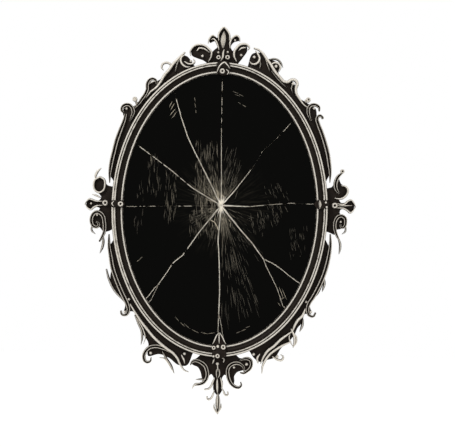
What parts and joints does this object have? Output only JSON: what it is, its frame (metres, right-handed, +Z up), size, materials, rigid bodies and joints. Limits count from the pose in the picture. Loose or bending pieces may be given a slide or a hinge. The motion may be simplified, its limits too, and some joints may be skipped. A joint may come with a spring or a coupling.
{
  "type": "broken mirror",
  "caption": "Upright oval wall mirror in a dark moulded frame with gilt rococo scrolls all round, its blackened pane shattered by one blow near the middle.",
  "frame": {"origin": "centre of the oval, on the plane of the wall that the back of the moulding rests on", "axes": "+Z up, +Y into the wall, so the pane faces -Y; +X to the right of someone who looks at the pane"},
  "size_m": [0.5415, 0.0331, 0.7727],
  "materials": {
    "ebonised_wood": "brown-black stained and polished wood, the beads rubbed back to champagne gilt",
    "champagne_composition": "cast composition, dark in the hollows and rubbed champagne gilt on the ridges",
    "blackened_mirror": "aged mirror glass, nearly black, scratched and streaked grey round the blow, frosted white along the breaks",
    "crushed_glass": "white crushed glass",
    "hardboard": "plain brown hardboard, dusty",
    "plated_steel": "dull zinc plated steel strip",
    "screw_steel": "steel, slightly rusted"
  },
  "bodies": {
    "root": {"backing_board": "hardboard", "clasp_bottom": "champagne_composition", "clasp_left": "champagne_composition", "clasp_right": "champagne_composition", "clasp_top": "champagne_composition", "clip_screw_1": "screw_steel", "clip_screw_2": "screw_steel", "clip_screw_3": "screw_steel", "clip_screw_4": "screw_steel", "clip_screw_5": "screw_steel", "clip_screw_6": "screw_steel", "crest": "champagne_composition", "crushed_glass": "crushed_glass", "flank_left": "champagne_composition", "flank_right": "champagne_composition", "hanger_plate": "plated_steel", "hanger_screw_1": "screw_steel", "hanger_screw_2": "screw_steel", "oval_moulding": "ebonised_wood", "pendant": "champagne_composition", "retaining_clip_1": "plated_steel", "retaining_clip_2": "plated_steel", "retaining_clip_3": "plated_steel", "retaining_clip_4": "plated_steel", "retaining_clip_5": "plated_steel", "retaining_clip_6": "plated_steel", "shard_bottom_left": "blackened_mirror", "shard_bottom_right": "blackened_mirror", "shard_fork": "blackened_mirror", "shard_left_lower": "blackened_mirror", "shard_left_upper": "blackened_mirror", "shard_right_lower": "blackened_mirror", "shard_right_upper": "blackened_mirror", "shard_top_left": "blackened_mirror", "shard_top_right": "blackened_mirror", "shard_upper_left": "blackened_mirror", "shoulder_left": "champagne_composition", "shoulder_right": "champagne_composition", "side_left": "champagne_composition", "side_right": "champagne_composition", "sliver_bottom": "blackened_mirror", "sliver_lower_left": "blackened_mirror"}
  },
  "joints": []
}
